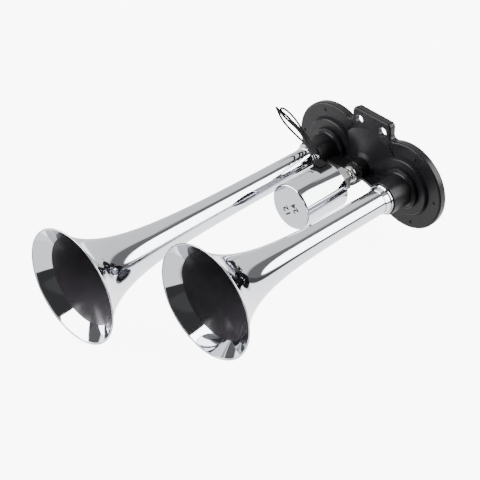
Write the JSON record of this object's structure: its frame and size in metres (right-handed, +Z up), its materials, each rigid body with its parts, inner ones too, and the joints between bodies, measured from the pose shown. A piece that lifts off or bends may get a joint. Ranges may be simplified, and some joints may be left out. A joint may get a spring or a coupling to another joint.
{
  "type": "twin-trumpet air horn",
  "caption": "Compressed-air vehicle horn: long and short chromed trumpets side by side on a black moulded housing, with a chromed solenoid valve between them.",
  "frame": {"origin": "midway between the axes of the mounting tab's two holes, on the plane of the cover's flat back face", "axes": "+Z up towards the top of the mounting tab, -Y forward along the trumpets towards their bells, +X from the long trumpet to the short one"},
  "size_m": [0.2022, 0.3467, 0.1105],
  "materials": {
    "chrome": "polished chrome plating",
    "black_plastic": "semi-gloss black moulding",
    "nickel": "satin nickel",
    "steel": "plain bright steel",
    "rubber": "matt black rubber",
    "copper": "lacquered copper winding",
    "cable": "soft black insulation"
  },
  "bodies": {
    "horn": {"front_housing": "black_plastic", "rear_cover": "black_plastic", "cover_screws": "steel", "inlet_spigot": "nickel", "inlet_seal": "rubber", "long_trumpet": "chrome", "short_trumpet": "chrome", "long_ferrule_nut": "chrome", "short_ferrule_nut": "chrome", "long_trumpet_seal": "rubber", "short_trumpet_seal": "rubber", "long_diaphragm": "steel", "short_diaphragm": "steel", "long_gasket": "rubber", "short_gasket": "rubber", "valve_body": "nickel", "port_seal": "rubber", "plunger_spring": "steel", "guide_tube": "nickel", "fixed_core": "steel", "yoke_plate": "steel", "solenoid_can": "chrome", "bobbin": "black_plastic", "coil": "copper", "lead_block": "black_plastic", "upper_lead": "cable", "lower_lead": "cable"},
    "valve_plunger": {"plunger": "steel", "plunger_pad": "rubber"}
  },
  "joints": [
    {"name": "plunger_slide", "type": "slide", "parent": "horn", "child": "valve_plunger", "axis": [0, -1, 0], "range_m": [0, 0.002], "stiffness_N_per_m": 500, "springref_m": -0.004, "deforming": ["plunger_spring"]}
  ]
}
